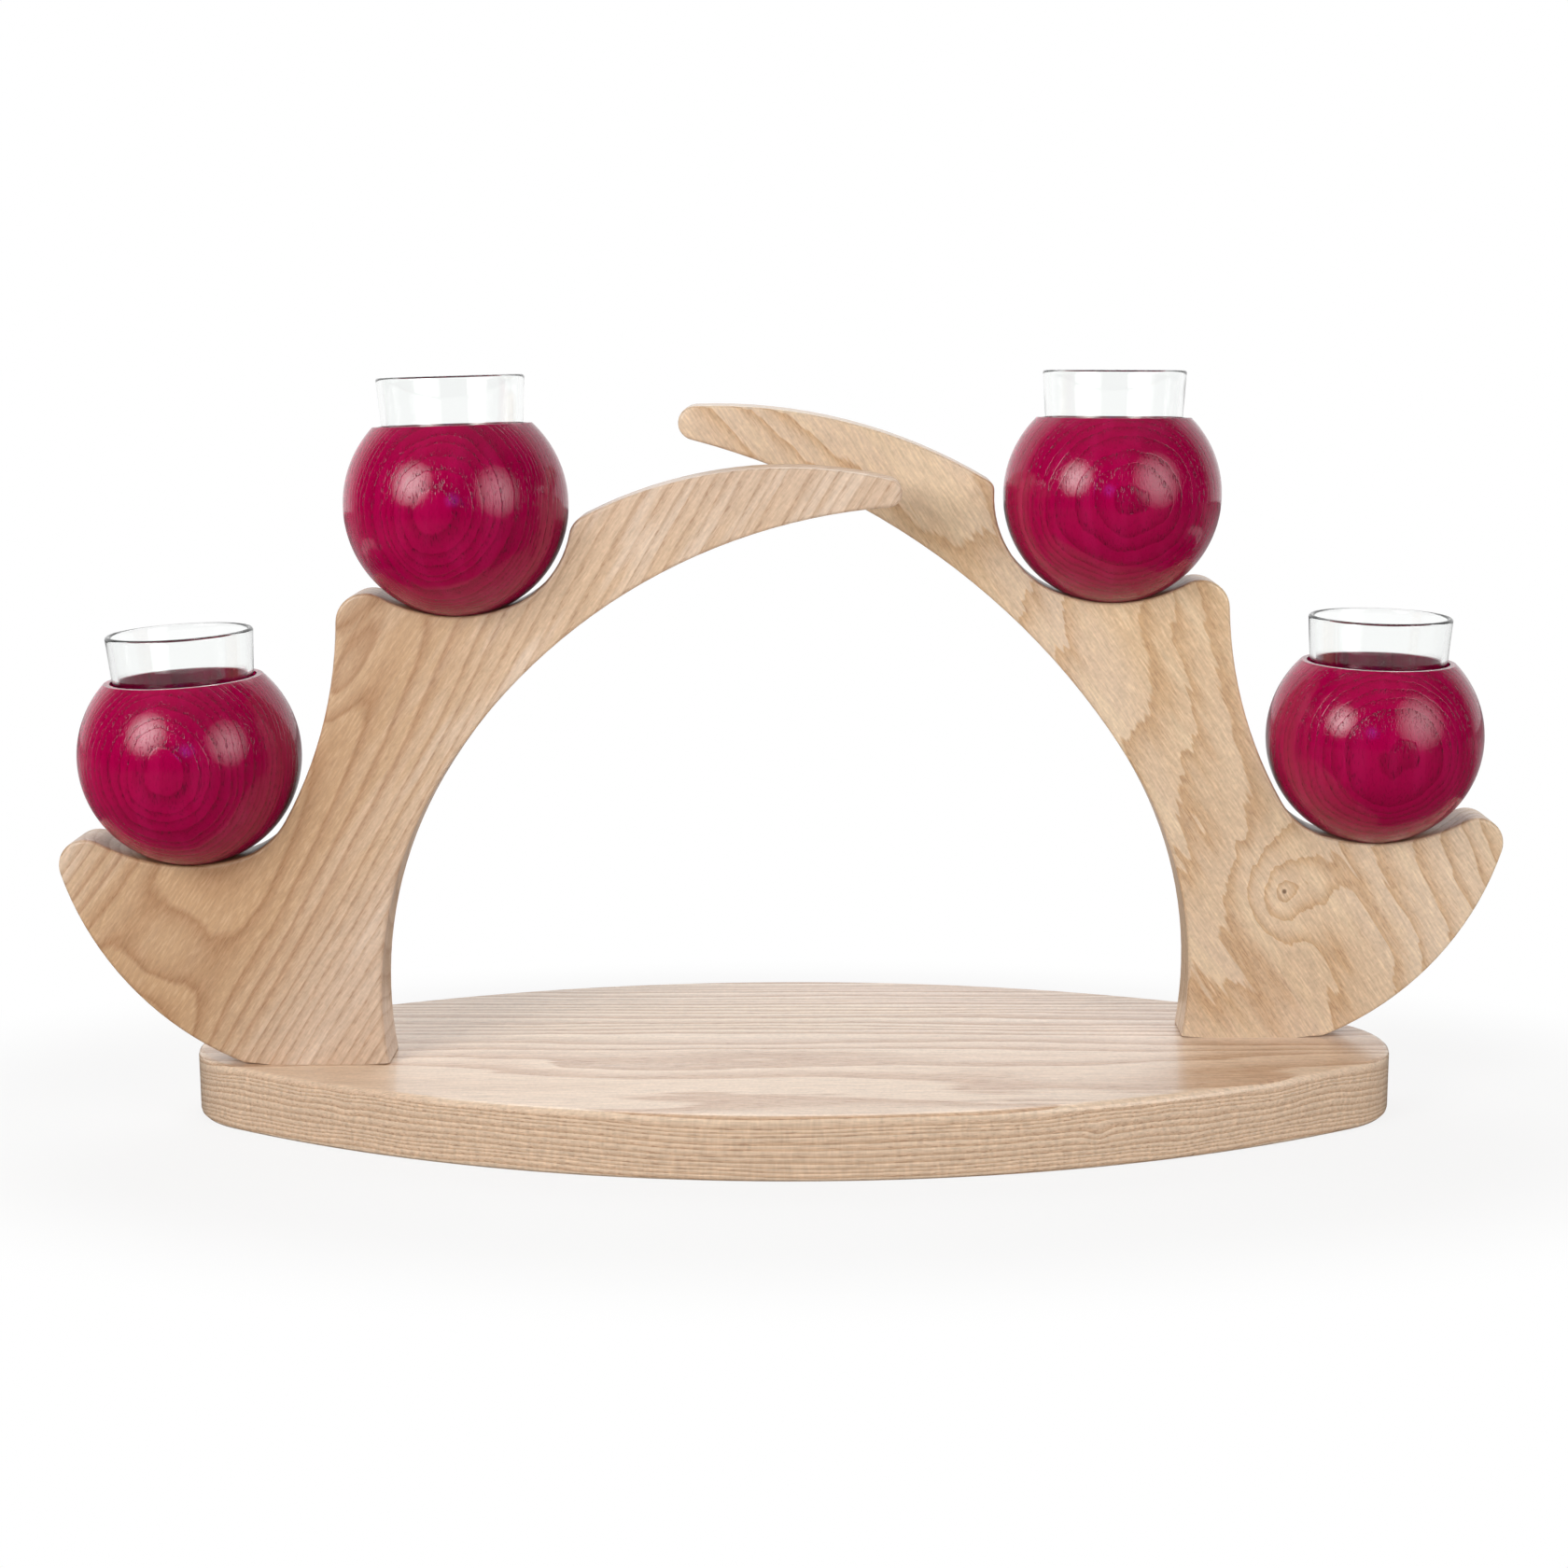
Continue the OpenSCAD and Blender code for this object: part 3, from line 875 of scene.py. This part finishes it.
@dataclass(frozen=True)
class TeaLightGlass:
    """A tapered tea-light glass, blown up from its profile on the leaning axis of its bore."""

    place: Place
    centre: Point
    lean: float
    tilt: float
    rim_radius: float = 0.0246
    foot_radius: float = 0.0218
    height: float = 0.04
    wall: float = 0.0019
    floor: float = 0.0036
    foot_above_centre: float = 0.00255
    heel: float = 0.0014
    floor_round: float = 0.0025
    steps: int = 144
    arc_steps: int = 10
    edge_share: float = 0.02

    def profile(self) -> list[tuple[float, float]]:
        """Give the outline from the middle of the foot, up outside and down inside.

        Returns:
            Distances from the axis and heights above the foot, in metres.
        """
        slope = (self.rim_radius - self.foot_radius) / self.height
        rim = self.wall / 2
        floor_radius = self.foot_radius + slope * self.floor - self.wall

        def arc(
            middle: tuple[float, float], radius: float, start: float, end: float
        ) -> list[tuple[float, float]]:
            """Give points along an arc.

            Args:
                middle: Middle of the arc.
                radius: Radius of the arc.
                start: Angle of the first point, in degrees.
                end: Angle of the last point, in degrees.

            Returns:
                The points.
            """
            turns = (start + (end - start) * i / self.arc_steps for i in range(self.arc_steps + 1))
            angles = [math.radians(turn) for turn in turns]
            return [(middle[0] + radius * math.cos(a), middle[1] + radius * math.sin(a)) for a in angles]

        heel = arc((self.foot_radius + slope * self.heel - self.heel, self.heel), self.heel, -90.0, 0.0)
        top = arc((self.rim_radius - rim, self.height - rim), rim, 0.0, 180.0)
        bowl = arc(
            (floor_radius - self.floor_round, self.floor + self.floor_round), self.floor_round, 0.0, -90.0
        )
        foot = (0.0, 0.0)
        floor = (0.0, self.floor)
        return [
            foot, *self._flat_run(foot, heel[0]), *heel, *self._flat_run(heel[-1], top[0]), *top,
            *self._flat_run(top[-1], bowl[0]), *bowl, *self._flat_run(bowl[-1], floor), floor,
        ]

    def _flat_run(
        self, start: tuple[float, float], end: tuple[float, float]
    ) -> list[tuple[float, float]]:
        """Give two points close to the ends of a straight run, which keep its shading flat.

        Args:
            start: First end of the run.
            end: Last end of the run.

        Returns:
            The two points.
        """
        shares = (self.edge_share, 1.0 - self.edge_share)
        return [(start[0] + (end[0] - start[0]) * at, start[1] + (end[1] - start[1]) * at) for at in shares]

    def build(self, material: bpy.types.Material) -> None:
        """Build the glass and let it stand for its node.

        Args:
            material: The glass.
        """
        outline = self.profile()
        shape = bmesh.new()
        rows = [
            [shape.verts.new((r * math.cos(a), r * math.sin(a), z))
             for a in (math.tau * i / self.steps for i in range(self.steps))]
            for r, z in outline[1:-1]
        ]
        for low, high in zip(rows, rows[1:]):
            for i in range(self.steps):
                j = (i + 1) % self.steps
                shape.faces.new((low[i], low[j], high[j], high[i]))
        for row, z, outwards in ((rows[0], outline[0][1], False), (rows[-1], outline[-1][1], True)):
            middle = shape.verts.new((0.0, 0.0, z))
            for i in range(self.steps):
                j = (i + 1) % self.steps
                corners = (row[i], row[j], middle) if outwards else (row[j], row[i], middle)
                shape.faces.new(corners)
        lean = Matrix.Rotation(math.radians(self.lean), 4, "Y")
        tilt = Matrix.Rotation(math.radians(-self.tilt), 4, "X")
        raised = Matrix.Translation((0.0, 0.0, self.foot_above_centre))
        shape.transform(Matrix.Translation(self.centre) @ lean @ tilt @ raised)
        name = "tea_glass_" + self.place.value
        mesh = bpy.data.meshes.new(name)
        for face in shape.faces:
            face.smooth = True
        shape.to_mesh(mesh)
        shape.free()
        mesh.materials.append(material)
        glass = bpy.data.objects.new(name, mesh)
        bpy.context.scene.collection.objects.link(glass)
        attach(glass, self.place.value + "_glass")
        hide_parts("glass_" + self.place.value)
        LOG.info("%s: %d faces", name, len(mesh.polygons))


@dataclass(frozen=True)
class Lamp:
    """A round lamp turned to the holder, made of discs that fade its light out to the rim."""

    name: str
    place: Point
    width: float
    radiance: float
    target: Point = (0.0, 0.0, 0.17)
    colour: tuple[float, float, float] = (1.0, 1.0, 1.0)
    discs: int = 5
    narrowing: float = 0.16
    apart: float = 0.01

    def build(self, lit: Sequence[bpy.types.Object] = ()) -> None:
        """Hang the lamp and turn it to its target.

        Args:
            lit: The only objects that it lights. It lights everything where none is given.
        """
        reached = None
        if lit:
            reached = bpy.data.collections.new(self.name + "_reach")
            for thing in lit:
                reached.objects.link(thing)
        aim = Vector(self.target) - Vector(self.place)
        for i in range(self.discs):
            width = self.width * (1.0 - self.narrowing * i)
            data = bpy.data.lights.new(f"{self.name}_{i}", "AREA")
            data.shape = "DISK"
            data.size = width
            data.color = self.colour
            area = math.pi * (width / 2) ** 2
            data.energy = self.radiance / self.discs * math.pi * area
            lamp = bpy.data.objects.new(data.name, data)
            bpy.context.scene.collection.objects.link(lamp)
            lamp.location = Vector(self.place) - aim.normalized() * (self.apart * i)
            lamp.rotation_euler = aim.to_track_quat("-Z", "Y").to_euler()
            lamp.light_linking.receiver_collection = reached


@dataclass(frozen=True)
class Camera:
    """The camera of the photograph, in metres and degrees."""

    place: Point = (0.0129, -0.891, 0.2817)
    lens: float = 60.0
    sensor: float = 36.0
    pitch: float = 10.57
    yaw: float = 0.98
    roll: float = 0.30
    nearest: float = 0.01

    def build(self) -> None:
        """Set the camera up and make it the scene's own."""
        pitch, yaw, roll = (math.radians(a) for a in (self.pitch, self.yaw, self.roll))
        level = Vector((-math.sin(yaw), math.cos(yaw), 0.0))
        side = Vector((math.cos(yaw), math.sin(yaw), 0.0))
        up = Vector((0.0, 0.0, 1.0))
        ahead = level * math.cos(pitch) - up * math.sin(pitch)
        above = up * math.cos(pitch) + level * math.sin(pitch)
        right = side * math.cos(roll) - above * math.sin(roll)
        top = above * math.cos(roll) + side * math.sin(roll)
        data = bpy.data.cameras.new("camera")
        data.lens = self.lens
        data.sensor_width = self.sensor
        data.sensor_fit = "HORIZONTAL"
        data.clip_start = self.nearest
        camera = bpy.data.objects.new("camera", data)
        bpy.context.scene.collection.objects.link(camera)
        turn = Matrix((right, top, -ahead)).transposed().to_4x4()
        camera.matrix_world = Matrix.Translation(self.place) @ turn
        bpy.context.scene.camera = camera


@dataclass(frozen=True)
class Studio:
    """Pale floor, white backdrop and dark room, two soft lamps in front and one behind.

    What ends in rise is a pair of directions or places between which a share goes from 0 to 1.
    """

    room: float = 0.02
    ceiling: float = 0.2
    ceiling_rise: tuple[float, float] = (0.5, 0.95)
    backdrop: float = 1.0
    backdrop_rise: tuple[float, float] = (0.3, 0.65)
    floor_radius: float = 2.4
    floor_steps: int = 96
    floor_paint: Colour = (0.7, 0.7, 0.7, 1.0)
    # Share of lit paint round the base: the real shadow plus painted shade that greys the floor there
    shadow_share: float = 0.17
    shadow_reach: tuple[float, float] = (0.26, 0.14)
    shadow_rise: tuple[float, float] = (1.0, 1.5)
    gloss_share: float = 0.12
    gloss_rise: tuple[float, float] = (0.15, 0.5)
    ball_lamp: Lamp = Lamp(
        "ball_lamp", (-0.05, -0.95, 0.36), 0.26, 5.0, colour=(0.12, 0.1, 1.0)
    )
    lamps: tuple[Lamp, ...] = (
        Lamp("left_lamp", (-0.73, -0.77, 0.62), 0.8, 12.0, colour=(1.0, 0.99, 0.96)),
        Lamp("right_lamp", (0.81, -0.74, 0.52), 1.08, 5.4, colour=(1.0, 0.99, 0.96)),
        Lamp("back_lamp", (0.0, 0.75, 1.1), 1.0, 1.8, discs=1),
    )

    def build(self, shiny: Sequence[bpy.types.Object]) -> None:
        """Set up floor, world and lamps.

        Args:
            shiny: The balls, which alone show the small blue lamp.
        """
        self._world()
        self._floor()
        for lamp in self.lamps:
            lamp.build()
        self.ball_lamp.build(shiny)
        bpy.context.scene.view_settings.view_transform = "Standard"

    def _world(self) -> None:
        """Make surroundings that look white and are dark in front for light and gloss."""
        world = bpy.data.worlds.new("surroundings")
        bpy.context.scene.world = world
        world.use_nodes = True
        graph = Graph(world.node_tree)
        _, back, up = graph.parts(graph.node("ShaderNodeTexCoord", out="Generated"))
        light = self.room + self.ceiling * up.rise(*self.ceiling_rise)
        light = light + (self.backdrop - light) * back.rise(*self.backdrop_rise)
        seen = graph.ray("Is Camera Ray").at_least(graph.ray("Is Transmission Ray"))
        share = seen + (1.0 - seen) * light
        dark = graph.node("ShaderNodeBackground", None, {"Color": BLACK})
        white = graph.node("ShaderNodeBackground", None, {"Color": WHITE})
        surface = graph.node("ShaderNodeMixShader", None, {0: share, 1: dark, 2: white})
        graph.node("ShaderNodeOutputWorld", None, {"Surface": surface})

    def _floor(self) -> None:
        """Lay a pale floor that keeps a faint real shadow, with painted shade round the base, and runs out
        into the white.
        """
        shape = bmesh.new()
        bmesh.ops.create_circle(shape, cap_ends=True, segments=self.floor_steps, radius=self.floor_radius)
        mesh = bpy.data.meshes.new("floor")
        shape.to_mesh(mesh)
        shape.free()
        floor = bpy.data.objects.new("floor", mesh)
        bpy.context.scene.collection.objects.link(floor)
        material, graph = new_material("pale_floor")
        wide, deep = self.shadow_reach
        around = graph.vector("MULTIPLY", graph.point(), (1.0 / wide, 1.0 / deep, 0.0))
        # Painted shade: round the base the floor shows a share of lit paint, darker than the white even
        # where nothing shades it
        near = 1.0 - graph.length(around).rise(*self.shadow_rise)
        seen = graph.ray("Is Camera Ray").at_least(graph.ray("Is Transmission Ray"))
        paint = graph.node("ShaderNodeBsdfDiffuse", None, {"Color": self.floor_paint})
        white = graph.node("ShaderNodeEmission", None, {"Color": WHITE, "Strength": 1.0})
        share = seen * (1.0 - self.shadow_share * near)
        surface = graph.node("ShaderNodeMixShader", None, {0: share, 1: paint, 2: white})
        unlit = graph.node("ShaderNodeEmission", None, {"Color": BLACK, "Strength": 0.0})
        _, back, _ = graph.parts(graph.point())
        front = 1.0 - back.rise(*self.gloss_rise)
        dark = graph.ray("Is Glossy Ray") * (1.0 - seen) * front * (1.0 - self.gloss_share)
        surface = graph.node("ShaderNodeMixShader", None, {0: dark, 1: surface, 2: unlit})
        graph.node("ShaderNodeOutputMaterial", None, {"Surface": surface})
        mesh.materials.append(material)


CENTRES: dict[Place, Point] = {
    Place.LOWER_LEFT: (-0.2045, -0.0165, 0.1289),
    Place.UPPER_LEFT: (-0.1112, -0.0165, 0.2137),
    Place.UPPER_RIGHT: (0.1112, 0.0165, 0.2137),
    Place.LOWER_RIGHT: (0.2045, 0.0165, 0.1289),
}
# Lean to the right and tilt to the back of each bore, in degrees
LEANS: dict[Place, tuple[float, float]] = {
    Place.LOWER_LEFT: (-2.5, 0.0),
    Place.UPPER_LEFT: (-1.5, 1.8),
    Place.UPPER_RIGHT: (0.5, 1.8),
    Place.LOWER_RIGHT: (1.0, 0.0),
}
# Way from the middle of each ball to its pith, and the direction of its fibres
GRAINS: dict[Place, tuple[Point, Point]] = {
    Place.LOWER_LEFT: ((-0.004, -0.16, 0.0), (0.05, 0.0, 1.0)),
    Place.UPPER_LEFT: ((-0.002, -0.13, 0.0), (0.03, 0.06, 1.0)),
    Place.UPPER_RIGHT: ((0.002, 0.19, 0.0), (-0.02, 0.02, 1.0)),
    Place.LOWER_RIGHT: ((0.004, 0.17, 0.0), (-0.04, -0.03, 1.0)),
}
# Climb of the fibres of each arch, to the right
FRONT_SLOPE = math.radians(55.3)
REAR_SLOPE = math.radians(-56.0)
FRONT_ARCH = Arch(
    node="front_arch",
    trunk=Trunk(
        pith=(-0.202, -0.009, 0.076),
        fibre=(math.cos(FRONT_SLOPE), 0.11, math.sin(FRONT_SLOPE)),
        ring=0.0038,
        sway=0.014,
        sway_waves=(11.0, 11.0, 3.0),
        jag=0.0006,
        heart=(0.02, 0.06),
        year_stops=((0.0, 0.0), (0.13, 1.0), (0.3, 0.5), (0.55, 0.14), (0.8, 0.0), (1.0, 0.0)),
        knots=(
            Knot((-0.214, -0.027, 0.062), spread=0.017, lift=0.013, ragged=0.25, stretch=1.5),
            Knot((-0.15, -0.027, 0.155), spread=0.007, lift=0.005, ragged=0.3, stretch=3.0),
        ),
    ),
    late=shown(214, 184, 154),
    early=shown(160, 114, 76),
    blush=shown(211, 184, 161),
    pale=shown(229, 208, 189),
    heart=shown(191, 152, 113),
    early_share=0.36,
    pore_share=0.4,
    streak_share=0.6,
    grain_share=1.0,
    dash_share=0.1,
    heart_lines=0.35,
)
REAR_ARCH = Arch(
    node="rear_arch",
    trunk=Trunk(
        pith=(0.0844, 0.115, 0.1671),
        fibre=(math.cos(REAR_SLOPE), 0.1, math.sin(REAR_SLOPE)),
        ring=0.0044,
        sway=0.02,
        sway_waves=(11.0, 11.0, 6.0),
        jag=0.001,
        flame=0.0034,
        year_stops=((0.0, 0.0), (0.05, 1.0), (0.2, 0.7), (0.4, 0.3), (0.65, 0.08), (1.0, 0.0)),
        knots=(
            Knot((0.1728, 0.006, 0.0756), spread=0.016, lift=0.011, ragged=0.5),
            Knot((0.1728, 0.006, 0.0756), spread=0.0035, lift=0.003, core=0.0012),
        ),
    ),
    late=shown(211, 177, 137),
    early=shown(190, 147, 102),
    blush=shown(221, 196, 171),
    pale=shown(231, 208, 176),
    heart=shown(212, 178, 138),
    early_share=0.65,
    pore_share=0.35,
    streak_share=0.45,
    grain_share=1.2,
    dash_share=0.35,
)


def main() -> None:
    """Build the holder piece by piece, then the studio round it."""
    logging.basicConfig(level=logging.INFO, format="%(message)s")
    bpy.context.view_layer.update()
    BasePlate().build()
    FRONT_ARCH.build()
    REAR_ARCH.build()
    for place, (shift, fibre) in GRAINS.items():
        TurnedBall(place, CENTRES[place], shift, fibre).build()
    glass = ClearGlass().material()
    for place, centre in CENTRES.items():
        TeaLightGlass(place, centre, *LEANS[place]).build(glass)
    beech = PlainBeech().material()
    for place in Place:
        dress("dowel_" + place.value, beech)
    steel = ZincSteel().material()
    for node in ("front_foot_screws", "rear_foot_screws"):
        dress(node, steel)
    Camera().build()
    balls = [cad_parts["ball_" + place.value] for place in Place]
    Studio().build(balls)


if __name__ == "__main__":
    main()
